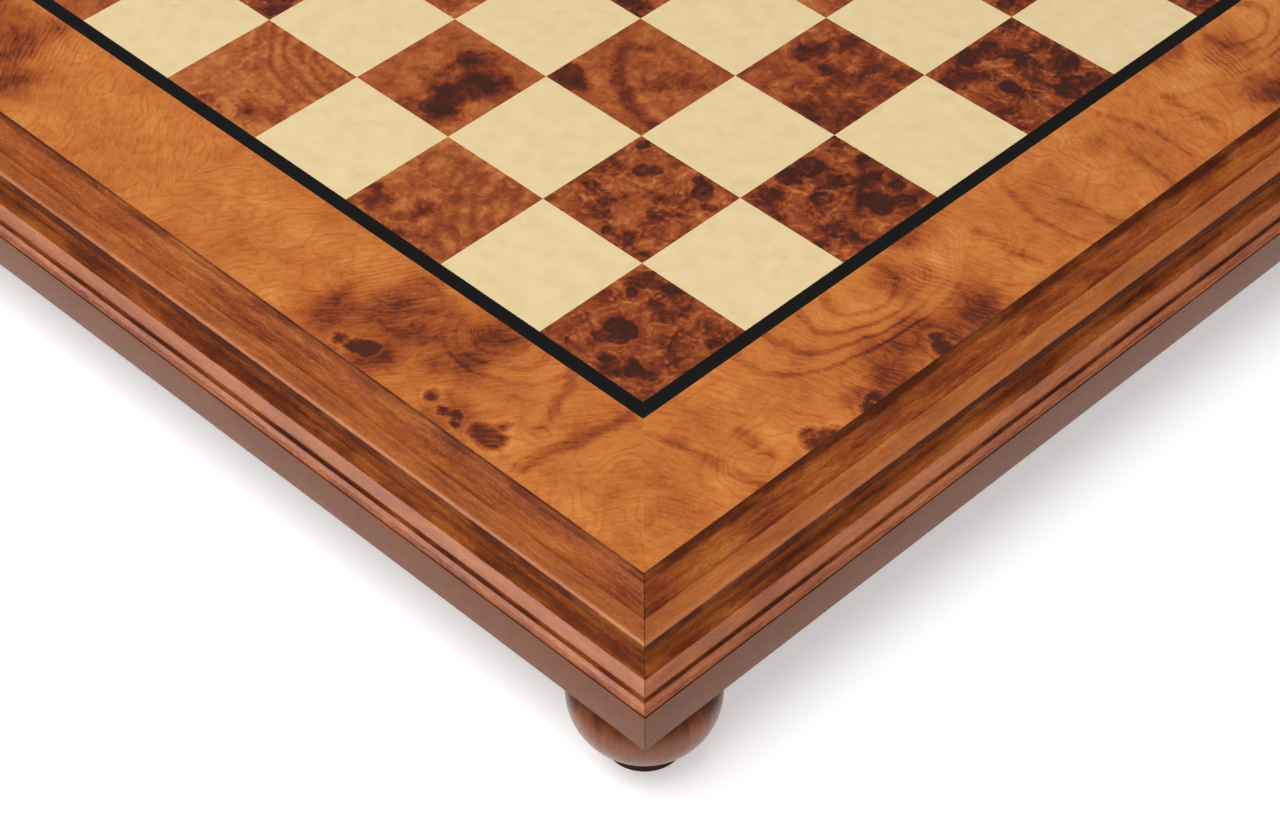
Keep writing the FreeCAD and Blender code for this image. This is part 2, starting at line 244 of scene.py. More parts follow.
def moveInwards(outline, distance, sharpest=0.3):
    # every edge of a closed anticlockwise outline moves in by distance; sharpest holds back the tips
    moved = []
    for index, here in enumerate(outline):
        before = (here - outline[index - 1]).normalized()
        after = (outline[(index + 1) % len(outline)] - here).normalized()
        inFromBefore, inFromAfter = Vector((-before.y, before.x)), Vector((-after.y, after.x))
        both = inFromBefore + inFromAfter
        moved.append(here + both * (distance / max(sharpest, 1 + inFromBefore.dot(inFromAfter))))
    return moved


def turnPoint(x, y, degrees):
    angle = math.radians(degrees)
    return (x * math.cos(angle) - y * math.sin(angle), x * math.sin(angle) + y * math.cos(angle))


# the veneers of the panel's face
veneer = {
    "seamEase": 0.05 * mm,  # how far the top edge of each leaf is rubbed down
    "polish": 0.3,  # roughness of the lacquer
    "leafStep": 40.0,  # moves the figure from one leaf to the next
    "borderStep": 9.0,  # the same on the border
    "seed": 8,  # picks the leaves outside the picture
}


def veneerLeaf(name, outline, material, replaced, figurePlace):
    # a flat leaf with its top edge eased; figurePlace turns a point into its place in the figure
    ease = veneer["seamEase"]
    corners = [Vector(point) for point in outline]
    inner = moveInwards(corners, ease)
    rings = [(corners, veneerBottom), (corners, veneerTop - ease), (inner, veneerTop)]
    points = [(p.x, p.y, z) for ring, z in rings for p in ring]
    numbers = {"figure": [figurePlace(x, y) for x, y, _ in points]}
    return newPiece(name, points, shellFaces(len(rings), len(corners)), material, replaced, numbers)


# figure of each dark leaf, in hundredths of the square from its front left corner: knots and softer red
# patches (x, y, radius), dark strokes (x, y, toX, toY, half width) and growth rings (their middle, then how
# far apart they are and how far they reach, in mm, and their strength); how deep the colour of its ground
# is, how soft and uneven its clouds and how strong its veins, rims and eyes are
burlLeaves = {
    "bigEye": {
        "knots": [(38, 62, 12), (28, 68, 8), (17, 26, 6), (20, 16, 5), (72, 85, 5), (93, 68, 5), (88, 45, 4),
                  (74, 8, 5), (10, 50, 3)],
        "patches": [(60, 26, 7), (80, 58, 13), (45, 20, 7), (58, 86, 5), (90, 86, 10), (14, 40, 12), (86, 10, 8)],
        "depth": 0.56,
    },
    "darkCrown": {
        "knots": [(42, 90, 10), (60, 88, 11), (42, 58, 8), (66, 60, 8), (86, 48, 6), (64, 18, 9), (80, 14, 8),
                  (90, 30, 5), (92, 68, 4)],
        "patches": [(14, 30, 10), (22, 14, 8), (5, 66, 6), (74, 34, 16), (58, 74, 12), (95, 92, 6), (16, 88, 8)],
        "strokes": [(46, 30, 96, 66, 2)],
        "depth": 0.59,
    },
    "deepRed": {
        "knots": [(42, 90, 10), (56, 84, 11), (65, 70, 7), (34, 46, 7), (58, 10, 8), (72, 16, 8), (86, 10, 7),
                  (92, 32, 5)],
        "patches": [(60, 50, 12), (16, 78, 15), (88, 62, 9), (84, 34, 12), (6, 22, 7), (32, 38, 9), (90, 88, 10),
                    (30, 66, 8)],
        "depth": 0.58,
    },
    "scatter": {
        "knots": [(36, 84, 6), (72, 72, 6), (80, 64, 5), (6, 46, 4), (86, 22, 8), (92, 34, 5), (10, 5, 4),
                  (96, 92, 5), (76, 10, 5)],
        "patches": [(26, 74, 10), (46, 30, 8), (10, 26, 8), (18, 56, 5), (60, 90, 6), (30, 12, 6), (64, 36, 6),
                    (58, 18, 5)],
        "depth": 0.49,
    },
    "cloudy": {
        "knots": [(56, 82, 8), (68, 76, 5), (52, 62, 4)],
        "patches": [(88, 70, 12), (28, 42, 6), (10, 34, 14), (28, 18, 14), (58, 32, 12), (85, 34, 12),
                    (10, 8, 10), (52, 50, 8), (90, 10, 10), (60, 10, 8)],
        "depth": 0.47,
        "softness": 1.5,
        "unrest": 1.3,
        "fancy": 0.6,
    },
    "golden": {
        "knots": [(26, 96, 5), (2, 46, 4)],
        "patches": [(16, 86, 10), (14, 62, 8), (34, 52, 7), (6, 20, 7), (24, 56, 6)],
        "rings": (120, -50, 6.5, 78, 0.2),
        "depth": 0.36,
        "fancy": 0.6,
    },
    "crescent": {
        "knots": [(8, 88, 13), (18, 94, 8), (10, 74, 6)],
        "patches": [(58, 34, 12), (72, 20, 8)],
        "strokes": [(16, 0, 20, 30, 5), (20, 30, 34, 58, 5), (34, 58, 52, 76, 4.5), (52, 76, 68, 85, 4),
                    (68, 85, 78, 68, 3)],
        "depth": 0.37,
        "unrest": 1.2,
        "fancy": 0.4,
    },
    "smoke": {
        "knots": [(36, 36, 11), (54, 28, 13), (20, 30, 8), (70, 22, 8), (76, 54, 6)],
        "patches": [(42, 46, 15), (70, 42, 14), (62, 10, 11), (4, 44, 9), (12, 22, 12)],
        "depth": 0.34,
        "softness": 1.8,
        "unrest": 0.9,
        "fancy": 0.3,
    },
    "flame": {
        "knots": [(16, 26, 4)],
        "patches": [(18, 24, 15), (30, 12, 10), (4, 55, 7)],
        "rings": (150, 10, 5.6, 64, 0.32),
        "depth": 0.26,
        "unrest": 1.0,
        "fancy": 0.6,
    },
}
usualBurl = {"softness": 1.0, "unrest": 1.5, "fancy": 1.0}

# how every dark leaf is mixed, in mm: waves are (size, reach, detail), noises (size, detail, roughness) and
# marks (where they start and are full, outwards from the edge, and their strength)
burlMix = {
    "swirls": (12, 3.5, 3),
    "waves": (3.4, 1.6, 3),
    "clouds": (9, 5, 0.6),
    "mottle": (2.4, 4, 0.6),
    "mottleStrength": 0.5,
    "fibre": (0.9, 3, 0.6),
    "fibreStrength": 0.28,
    "tornByClouds": 9.0,  # how far the edges of the patches are torn
    "tornByMottle": 7.0,
    "patchBlend": 4,
    "patch": (3.4, -2.4, 0.26),
    "knotWaves": (5, 1.2, 2),
    "knotTorn": 0.28,  # against the patches
    "knotBlend": 3,
    "knot": (2.8, -1.8, 0.5),
    "strokeWaves": (9, 1.6, 4),
    "strokeBlend": 3,
    "stroke": (2.4, -1.6, 0.34),
    "veinsApart": 8.0,
    "vein": (0.12, 0.0, 0.26),  # in shares of veinsApart
    "veinsFrom": (-0.5, 2.5),  # outside a knot
    "veinsIn": (0.4, 0.6),  # the mottle where they come and go
    "rimLines": (3.2, 2),  # mm apart, sharpness
    "rim": (6.5, 2.0, 0.2),
    "scratchLines": (3.0, 6),
    "scratchWander": 14.0,
    "scratch": (0.2, -1.6, 0.24),
    "eyesApart": 3.6,
    "eye": (0.42, 0.14),  # in shares of eyesApart
    "eyeGroups": (14, 1),
    "eyeGroup": (0.5, 0.62, 0.26),
    "ringWaves": (12, 1.6, 2),
    "ringNoise": (18, 1),
    "ringWander": 8.0,
    "ringSharpness": 1.5,
    "ringsIn": (0.36, 0.6),  # the clouds where they come and go
    "ringsEnd": 14,  # how far before their reach they start to fade
    "deepest": (0.96, 0.3),  # where the colour gets no deeper, and how softly
    "relief": 0.004,
}

# the dark burl from its palest wood to the cores of its knots
burlColours = [
    (0.0, (198, 122, 66)),
    (0.18, (183, 104, 52)),
    (0.36, (163, 82, 40)),
    (0.54, (139, 65, 32)),
    (0.68, (118, 50, 27)),
    (0.82, (96, 40, 24)),
    (0.92, (74, 33, 22)),
    (1.0, (56, 30, 22)),
]


def darkBurl(name, leaf):
    look, mix, leaf = Finish("dark burl " + name), burlMix, {**usualBurl, **leaf}
    soft, fancy = leaf["softness"], leaf["fancy"]
    place = look.place("figure")
    loose = look.warped(place, *mix["swirls"])
    wavy = look.warped(loose, *mix["waves"])
    clouds = look.noise(loose, *mix["clouds"])
    mottle = look.noise(wavy, *mix["mottle"])
    fibre = look.noise(place, *mix["fibre"])

    def onLeaf(rows):
        return [[share * squareSide / mm / 100 for share in row] for row in rows]

    def torn(edge, share=1.0):
        edge = look.uneven(edge, clouds, mix["tornByClouds"] * share)
        return look.uneven(edge, mottle, mix["tornByMottle"] * share)

    # how deep the colour is: an uneven ground, then ragged red patches, knots and strokes
    level = look.uneven(leaf["depth"], clouds, -leaf["unrest"])
    level = look.uneven(level, mottle, -mix["mottleStrength"])
    patches = torn(look.nearest(wavy, onLeaf(leaf["patches"]), mix["patchBlend"]))
    level = look.calc("ADD", level, look.mark(patches, mix["patch"], soft=soft))
    knotPlace = look.warped(loose, *mix["knotWaves"])
    knots = look.nearest(knotPlace, onLeaf(leaf["knots"]), mix["knotBlend"])
    knotEdge = torn(knots, mix["knotTorn"])
    level = look.calc("ADD", level, look.mark(knotEdge, mix["knot"], soft=soft))
    if "strokes" in leaf:
        bent = look.warped(place, *mix["strokeWaves"])
        strokes = look.strokes(bent, onLeaf(leaf["strokes"]), mix["strokeBlend"])
        level = look.calc("ADD", level, look.mark(strokes, mix["stroke"]))

    # pale veins that stop at the knots
    toVein = look.cells(wavy, mix["veinsApart"], "DISTANCE_TO_EDGE")
    veins = look.mark(toVein, mix["vein"], fancy)
    for value, limits in ((knots, mix["veinsFrom"]), (mottle, mix["veinsIn"])):
        veins = look.calc("MULTIPLY", veins, look.fade(value, *limits))
    level = look.calc("SUBTRACT", level, veins)

    # pale rims that wrap the knots, and pale scratches in their cores
    scratched = look.calc("MULTIPLY_ADD", mottle, mix["scratchWander"], knots)
    for value, kind in ((knotEdge, "rim"), (scratched, "scratch")):
        pale = look.lines(value, *mix[kind + "Lines"])
        pale = look.calc("MULTIPLY", pale, look.mark(knots, mix[kind], fancy))
        level = look.calc("SUBTRACT", level, pale)

    # groups of small dark eyes
    eyes = look.fade(look.cells(wavy, mix["eyesApart"]), *mix["eye"])
    groups = look.mark(look.noise(place, *mix["eyeGroups"]), mix["eyeGroup"], fancy)
    level = look.calc("MULTIPLY_ADD", eyes, groups, level)

    # growth rings on the plainer leaves
    if "rings" in leaf:
        x, y, apart, reach, strength = leaf["rings"]
        away = look.nearest(look.warped(place, *mix["ringWaves"]), onLeaf([(x, y, 0)]))
        away = look.calc("MULTIPLY_ADD", look.noise(place, *mix["ringNoise"]), mix["ringWander"], away)
        shown = look.fade(clouds, *mix["ringsIn"], strength / 3, strength)
        shown = look.calc("MULTIPLY", shown, look.fade(away, reach, reach - mix["ringsEnd"]))
        rings = look.lines(away, apart, mix["ringSharpness"])
        level = look.calc("MULTIPLY_ADD", rings, shown, level)

    level = look.uneven(level, fibre, -mix["fibreStrength"])
    level = look.calc("SMOOTH_MIN", level, *mix["deepest"])
    return look.surface(look.ramp(level, burlColours), veneer["polish"], fibre, mix["relief"])


mapleMix = {
    "colours": [(0.3, (230, 204, 153)), (0.5, (235, 210, 160)), (0.74, (239, 216, 168))],
    "swirls": (16, 4),
    "waves": (5, 1),
    "mottle": (8, 3),
    # thin curly lines, in patches
    "rippleColour": (214, 186, 132),
    "rippleNoise": (18, 1),
    "rippleWander": 40,
    "rippleEdge": (3, 2),
    "ripplesApart": 2.6,
    "rippleSharpness": 4,
    "ripplePatches": (10, 1),
    "ripplePatch": (0.5, 0.7, 0.2),
    "grain": (0.7, 3, 0.6),
    "relief": 0.003,
}


def mapleVeneer():
    look, mix = Finish("light maple"), mapleMix
    place = look.place("figure")
    wavy = look.warped(look.warped(place, *mix["swirls"]), *mix["waves"])
    colour = look.ramp(look.noise(wavy, *mix["mottle"]), mix["colours"])
    edge = look.noise(wavy, *mix["rippleEdge"])
    curls = look.calc("MULTIPLY_ADD", look.noise(wavy, *mix["rippleNoise"]), mix["rippleWander"], edge)
    ripple = look.lines(curls, mix["ripplesApart"], mix["rippleSharpness"])
    patchy = look.mark(look.noise(place, *mix["ripplePatches"]), mix["ripplePatch"])
    colour = look.mix(look.calc("MULTIPLY", ripple, patchy), colour, mix["rippleColour"])
    grain = look.noise(place, *mix["grain"])
    return look.surface(colour, veneer["polish"], grain, mix["relief"])


blackMix = {
    "colours": [(0.3, (12, 11, 10)), (0.6, (20, 18, 17)), (0.85, (40, 36, 33))],
    "grain": ((14, 0.5, 1), 4, 0.6),
    "relief": 0.005,
}


def blackVeneer():
    look = Finish("black stringing")
    grain = look.streaks(look.place("figure"), *blackMix["grain"])
    return look.surface(look.ramp(grain, blackMix["colours"]), veneer["polish"], grain, blackMix["relief"])


# figure of the border leaves, in mm from the outer corner: u along the side, v in from the outer edge. Knots
# and red clouds (u, v, radius), strokes of deeper colour (u, v, toU, toV, half width), a silky place (u, v,
# radius, and the way across its fine lines, in degrees), growth rings (their middle, how far they reach
# towards the corner, away from it, out and in, first and last and how far apart, and how strong), and how
# far the fibres lean, in degrees
borderLeaves = {
    "front": {
        "knots": [(83, 1, 4.2), (89, 1, 3.8), (85, 7, 3.0), (107, 1, 2.0), (113, 3, 1.5), (146, 3, 2.2),
                  (149, 7, 1.0)],
        "clouds": [(112, 3, 8.0), (124, 5, 7.0), (150, 8, 11.0), (136, 17, 9.0), (166, 34, 8.0),
                   (184, 50, 8.0), (170, 8, 9.0)],
        "strokes": [(56, 0, 53, 18, 1.0), (53, 18, 46, 42, 0.6), (69, 8, 68, 24, 0.9), (203, 6, 202, 34, 0.4),
                    (226, 2, 221, 22, 0.2), (221, 22, 230, 46, 0.2), (242, 0, 237, 24, 0.2)],
        "silk": (174, 32, 14.0, 15),
        "swirl": (151, 39),
        "reach": (2.5, 2.3, 1.0, 2.4),
        "rings": (2, 27, 5.2),
        "strength": 0.3,
        "lean": 70,
    },
    "left": {
        "knots": [(79, 8, 4.6), (84, 9, 4.4), (82, 15, 1.8), (93, 4, 0.5), (96, 7, 0.7), (100, 5, 0.8),
                  (108, 7, 2.0), (141, 8, 2.6), (146, 6, 1.8), (152, 6, 1.3)],
        "clouds": [(130, 34, 13.0), (146, 25, 13.0), (116, 26, 8.0), (164, 14, 8.0), (98, 6, 5.0),
                   (138, 8, 8.0), (118, 44, 9.0), (152, 42, 5.0)],
        "strokes": [(63, 6, 58, 28, 1.5), (58, 28, 54, 49, 1.2), (71, 22, 74, 34, 1.2), (74, 34, 82, 49, 1.2)],
        "silk": (164, 37, 19.0, 29),
        "swirl": (114, 44),
        "reach": (1.6, 1.1, 1.0, 1.4),
        "rings": (4, 26, 5.6),
        "strength": 0.14,
        "lean": 55,
    },
}

# how both border leaves are mixed, in mm, with waves, noises and marks as in the dark burl
elmMix = {
    "swirls": (26, 5, 2),
    "waves": (6, 1.6, 3),
    "clouds": (22, 5, 0.6),
    "depth": 0.32,
    "unrest": 1.1,
    "cloudTorn": 8.0,
    "cloudBlend": 8,
    "cloud": (14, -2, 0.42),
    "strokeBlend": 2,
    "stroke": (3.4, -0.8, 0.26),
    "ringNoise": (16, 2),
    "ringWander": 5.0,
    "ringSharpness": 3,
    "ringsStart": 3,  # how far they take to come in, and to fade out
    "ringsEnd": 6,
    "ringsFrom": (-16, 6),  # they get stronger from here to there, towards the corner
    "ripplesPerRing": 5,
    "rippleSharpness": 2,
    "ripple": 0.08,
    "silkFull": 0.3,  # share of its radius
    "silk": 0.16,
    "silkLines": (2.1, 2),
    "silkLine": 0.17,
    # faint growth lines outside the rings
    "growth": (34, 2),
    "growthHeight": 60.0,
    "growthLines": (4.2, 4),
    "growthIn": (0.38, 0.6, 0.04, 0.16),  # the clouds where they are weak and strong, and how strong
    "fibre": ((9, 1.1, 1), 4, 0.62),
    "fibreStrength": 0.7,
    "flecks": (1.2, 4, 0.65),
    "fleckStrength": 0.4,
    "knotBlend": 1.5,
    "knotTorn": 2.4,
    "knot": (2.4, -1.8, 0.56),
    "rim": (4.0, 2.2, 0.12),
    "rimFrom": (1.0, 2.2),
    "deepest": (0.96, 0.2),
    "relief": 0.004,
}

# the elm burl from its silkiest wood to the cores of its knots
elmColours = [
    (0.0, (220, 146, 80)),
    (0.22, (206, 124, 58)),
    (0.42, (192, 108, 48)),
    (0.58, (170, 88, 39)),
    (0.74, (147, 69, 31)),
    (0.88, (106, 45, 26)),
    (1.0, (64, 33, 25)),
]


def elmBurl(name, leaf):
    look, mix = Finish("elm burl " + name), elmMix
    place = look.place("figure")
    loose = look.warped(place, *mix["swirls"])
    wavy = look.warped(loose, *mix["waves"])
    cloudy = look.noise(loose, *mix["clouds"])

    # how deep the colour is: an uneven ground, red clouds and soft strokes
    level = look.uneven(mix["depth"], cloudy, -mix["unrest"])
    clouds = look.nearest(loose, leaf["clouds"], mix["cloudBlend"])
    clouds = look.calc("MULTIPLY_ADD", cloudy, mix["cloudTorn"], clouds)
    level = look.calc("ADD", level, look.mark(clouds, mix["cloud"]))
    strokes = look.strokes(wavy, leaf["strokes"], mix["strokeBlend"])
    level = look.calc("ADD", level, look.mark(strokes, mix["stroke"]))

    # growth rings that reach further to one side of their middle than to the other
    towards, onward, out, inward = leaf["reach"]
    first, last, apart = leaf["rings"]
    away = look.vector("SUBTRACT", loose, (*leaf["swirl"], 0))
    low = look.vector("MINIMUM", away, (0, 0, 0))
    low = look.vector("MULTIPLY", low, (1 / towards, 1 / out, 0))
    high = look.vector("MAXIMUM", away, (0, 0, 0))
    high = look.vector("MULTIPLY", high, (1 / onward, 1 / inward, 0))
    ringed = look.vector("LENGTH", look.vector("ADD", low, high))
    ringed = look.uneven(ringed, look.noise(wavy, *mix["ringNoise"]), mix["ringWander"])
    starting = look.fade(ringed, first, first + mix["ringsStart"])
    inside = look.calc("MULTIPLY", starting, look.fade(ringed, last, last - mix["ringsEnd"]))
    towardsCorner = look.vector("DOT_PRODUCT", away, (-1, 0, 0))
    strength = look.fade(towardsCorner, *mix["ringsFrom"], leaf["strength"] / 3, leaf["strength"])
    rings = look.calc("MULTIPLY", look.lines(ringed, apart, mix["ringSharpness"]), inside)
    level = look.calc("MULTIPLY_ADD", rings, strength, level)

    # pale ripples between the rings
    ripples = look.lines(ringed, apart / mix["ripplesPerRing"], mix["rippleSharpness"])
    level = look.calc("MULTIPLY_ADD", look.calc("MULTIPLY", ripples, inside), -mix["ripple"], level)

    # the silky place: paler, with fine lines
    u, v, reach, degrees = leaf["silk"]
    silky = look.fade(look.nearest(loose, [(u, v, 0)]), reach, reach * mix["silkFull"])
    level = look.calc("MULTIPLY_ADD", silky, -mix["silk"], level)
    across = look.vector("DOT_PRODUCT", loose, (*turnPoint(1, 0, degrees), 0))
    fineLines = look.lines(across, *mix["silkLines"])
    level = look.calc("MULTIPLY_ADD", look.calc("MULTIPLY", fineLines, silky), mix["silkLine"], level)

    # faint growth lines everywhere else
    grown = look.calc("MULTIPLY", look.noise(loose, *mix["growth"]), mix["growthHeight"])
    grown = look.lines(grown, *mix["growthLines"])
    outside = look.calc("SUBTRACT", 1.0, inside)
    shown = look.calc("MULTIPLY", look.fade(cloudy, *mix["growthIn"]), outside)
    level = look.calc("MULTIPLY_ADD", grown, shown, level)

    # silky fibres that bend with the figure, and short flecks
    lean = {"Vector": loose, "Angle": math.radians(leaf["lean"])}
    turned = look.node("ShaderNodeVectorRotate", lean, rotation_type="Z_AXIS").outputs[0]
    fibre = look.streaks(turned, *mix["fibre"])
    level = look.uneven(level, fibre, -mix["fibreStrength"])
    flecks = look.noise(wavy, *mix["flecks"])
    level = look.uneven(level, flecks, -mix["fleckStrength"])

    # knots with a pale rim
    knots = look.nearest(wavy, leaf["knots"], mix["knotBlend"])
    knots = look.uneven(knots, flecks, mix["knotTorn"])
    rims = look.calc("MULTIPLY", look.fade(knots, *mix["rimFrom"]), look.mark(knots, mix["rim"]))
    level = look.calc("SUBTRACT", level, rims)
    level = look.calc("ADD", level, look.mark(knots, mix["knot"]))
    level = look.calc("SMOOTH_MIN", level, *mix["deepest"])
    return look.surface(look.ramp(level, elmColours), veneer["polish"], fibre, mix["relief"])


def squareFigure(corner, turns, mirrored, number):
    # place in the leaf, in mm, for a leaf laid with its figure turned by quarters or flipped
    def figurePlace(x, y):
        u, v = (x - corner[0]) / squareSide - 0.5, (y - corner[1]) / squareSide - 0.5
        if mirrored:
            u = -u
        for _ in range(turns):
            u, v = -v, u
        return ((u + 0.5) * squareSide / mm, (v + 0.5) * squareSide / mm, number * veneer["leafStep"])

    return figurePlace


def layField(leafAt):
    # leafAt names the leaf of the squares seen in the picture; the others take one in turn
    maple = mapleVeneer()
    burls = {name: darkBurl(name, leaf) for name, leaf in burlLeaves.items()}
    names = list(burlLeaves)
    pick = random.Random(veneer["seed"])
    for rank in range(squaresPerSide):
        for file in range(squaresPerSide):
            corner = (file * squareSide - halfField, rank * squareSide - halfField)
            far = (corner[0] + squareSide, corner[1] + squareSide)
            turns, mirrored, picked = pick.randrange(4), pick.random() < 0.5, pick.choice(names)
            dark = (file + rank) % 2 == 0
            if (file, rank) in leafAt:
                turns, mirrored, picked = 0, False, leafAt[(file, rank)]
            kind = "dark" if dark else "light"
            veneerLeaf(
                f"square_{'abcdefgh'[file]}{rank + 1}",
                [corner, (far[0], corner[1]), far, (corner[0], far[1])],
                burls[picked] if dark else maple,
                [f"rank_{rank + 1}_{kind}_squares"],
                squareFigure(corner, turns, mirrored, rank * squaresPerSide + file),
            )


def laySurround():
    # each strip and leaf is laid out at the back, where x runs along the side and y outwards, and then turned
    black = blackVeneer()
    elm = {name: elmBurl(name, leaf) for name, leaf in borderLeaves.items()}
    field, string, panel = halfField, halfStringing, halfPanel
    for number, (side, degrees) in enumerate(sideTurns.items()):

        def stringPlace(x, y):
            along, out = turnPoint(x, y, -degrees)
            return (along / mm, out / mm, number * veneer["leafStep"])

        outline = [(field, field), (string, string), (-string, string), (-field, field)]
        outline, replaced = [turnPoint(x, y, degrees) for x, y in outline], [f"stringing_{side}"]
        veneerLeaf(f"stringing_strip_{side}", outline, black, replaced, stringPlace)
        for way, end in zip((-1, 1), endNames[side]):

            def leafPlace(x, y):
                along, out = turnPoint(x, y, -degrees)
                return ((panel - way * along) / mm, (panel - out) / mm, number * veneer["borderStep"] + way)

            outline = [(0, string), (way * string, string), (way * panel, panel), (0, panel)][::way]
            outline, replaced = [turnPoint(x, y, degrees) for x, y in outline], [f"border_{side}_{end}"]
            material = elm["front" if side in ("front", "back") else "left"]
            veneerLeaf(f"border_leaf_{side}_{end}", outline, material, replaced, leafPlace)


# names of the two ends of each side, the one on the left of someone facing out of the board first
endNames = {
    "back": ("left", "right"), "left": ("front", "back"),
    "front": ("right", "left"), "right": ("back", "front"),
}
seenLeaves = {
    (0, 0): "bigEye", (2, 0): "darkCrown", (4, 0): "deepRed", (1, 1): "scatter", (3, 1): "cloudy",
    (0, 2): "golden", (2, 2): "crescent", (1, 3): "smoke", (0, 4): "flame",
}
layField(seenLeaves)
laySurround()
print("veneers laid")


# the moulded, mitred frame
moulding = {
    # from the panel outwards, in mm: how far out, how far up, how far the curve bulges, and the tone there:
    # painted shade, with some polish settled in the quirks, towards -1, and painted highlight, with a little
    # wear, towards 1
    "members": [
        # painted shade, with settled polish, in the quirk, the inner hollow and on the small lip
        (0.4, -0.9, 0, -0.8),  # quirk
        (2.2, -0.71, -0.012, -0.5),  # hollow
        (8.7, -1.89, -0.19, 0.0),
        (1.2, 0.3, 0, -0.35),
        (1.0, -0.23, 0, 0.4),  # shoulder
        (4.3, -0.97, 0, 0.2),
        # painted highlight on the top of the nose, painted shadow under it, down the riser and on the ground
        # below
        (1.7, -0.7, 0.183, 0.6),  # nose
        (0.7, -1.7, 0.183, -0.9),
        (0, -0.5, 0, -0.9),
        (0, -2.0, 0, -0.3),
        (0, -2.7, 0, 0.1),
        (0.6, -0.6, -0.176, -0.7),
        (3.7, -0.3, 0, -0.5),
        # painted highlight on the sloping band, painted shade with settled polish in the groove and under the
        # bead
        (3.7, -2.3, 0, 0.5),  # sloping band
        (0.1, -1.7, 0, -0.7),
        (0.7, 0, 0, -0.9),
        (1.5, -0.9, 0, 0.25),  # bead
        (1.0, -1.0, 0.293, 0.0),
        (0, -0.4, 0, -0.9),
        (0.4, 0, 0, -1.0),
    ],
    "apronTone": 0.0,
    # long bands of painted shade and painted highlight on the front and back rails, which take the light
    # differently from the left and right rails: from and to, in mm from the panel, and how strong
    "streaks": {"front": [(0.5, 8.5, -0.45), (8.5, 12.4, -0.25), (12.4, 18.5, 0.2)], "back": [(3.0, 9.0, -0.3)]},
    "arrisTone": 0.25,  # how much lighter a sharp corner is, for wear and a painted highlight, and how much darker an inner one, for painted shade and settled polish
    "calmBelow": 53.7,  # the apron has hardly any figure
    "grainStep": 700,  # moves the figure from one rail to the next
    "panelGap": 0.04,
    "ledgeReach": 10.0,
    "edgeEase": 0.5,
    "arrisRound": 0.22,  # sanding takes the sharp corners off
    "quirkRound": 0.1,
    "mitreEase": 0.15,  # tiny dark chamfer that shows the mitre as a fine line
    "mitreGap": 0.02,
    "mitreTone": -1.1,
    "arcSteps": 10,
    "smoothBelow": 40,  # degrees
}

# from how many degrees a corner is rounded, how much of its edges that may take, and where its points lie
rounding = {"from": 22, "most": 0.35, "points": (0, 0.25, 0.5, 0.75, 1)}


def arcPoints(start, end, bulge, steps):
    # points of an arc that stands off to the left of the way from start to end, without its start
    chord = end - start
    radius = (chord.length**2 / 4 + bulge**2) / (2 * bulge)
    left = Vector((-chord.y, chord.x)).normalized()
    centre = (start + end) / 2 + left * (bulge - radius)
    sweep = 2 * math.asin(min(1, chord.length / 2 / abs(radius)))
    arm = start - centre
    turn = -sweep if bulge > 0 else sweep
    points = []
    for step in range(1, steps + 1):
        points.append(centre + Vector(turnPoint(arm.x, arm.y, math.degrees(turn * step / steps))))
    return points


def softened(outline, tones, arrisRound, quirkRound, cornerTone=0.0):
    # rounds the corners of a clockwise outline; tones holds that of the edge which ends at each point
    points, levels = [], []
    for index, here in enumerate(outline):
        onward = (index + 1) % len(outline)
        arriving, leaving = here - outline[index - 1], outline[onward] - here
        turn = math.degrees(arriving.angle_signed(leaving))
        if abs(turn) < rounding["from"]:
            points.append(here)
            levels.append((tones[index] + tones[onward]) / 2)
            continue
        radius = arrisRound if turn > 0 else quirkRound
        back = min(radius, rounding["most"] * arriving.length, rounding["most"] * leaving.length)
        first, last = here - arriving.normalized() * back, here + leaving.normalized() * back
        for share in rounding["points"]:
            points.append(first * (1 - share) ** 2 + here * 2 * share * (1 - share) + last * share**2)
            tone = tones[index] * (1 - share) + tones[onward] * share
            # sharp corners painted lighter, wear and painted highlight; inner corners darker, painted shade and
            # settled polish
            levels.append(tone + math.copysign(cornerTone, turn) * (1 - abs(2 * share - 1)))
    return points, levels


def railSection():
    # the section of a rail in mm, (out, up), clockwise from the top inner corner, and its tones
    at = Vector((halfPanel / mm + moulding["panelGap"], railHigh.z / mm))
    outline, tones = [at], [0.0]
    for out, up, bulge, tone in moulding["members"]:
        end = at + Vector((out, up))
        added = arcPoints(at, end, bulge, moulding["arcSteps"]) if bulge else [end]
        outline += added
        tones += [tone] * len(added)
        at = end
    ease = moulding["edgeEase"]
    outer, bottom, inner = railHigh.y / mm, railLow.z / mm, railLow.y / mm
    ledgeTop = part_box("backing_veneer")[0].z / mm
    apron = [(outer, bottom + ease), (outer - ease, bottom), (inner, bottom), (inner, ledgeTop)]
    apron.append((inner + moulding["ledgeReach"], ledgeTop))
    outline += [Vector(point) for point in apron]
    tones += [moulding["apronTone"]] * len(apron)
    rounds = moulding["arrisRound"], moulding["quirkRound"]
    return softened(outline, tones, *rounds, moulding["arrisTone"])


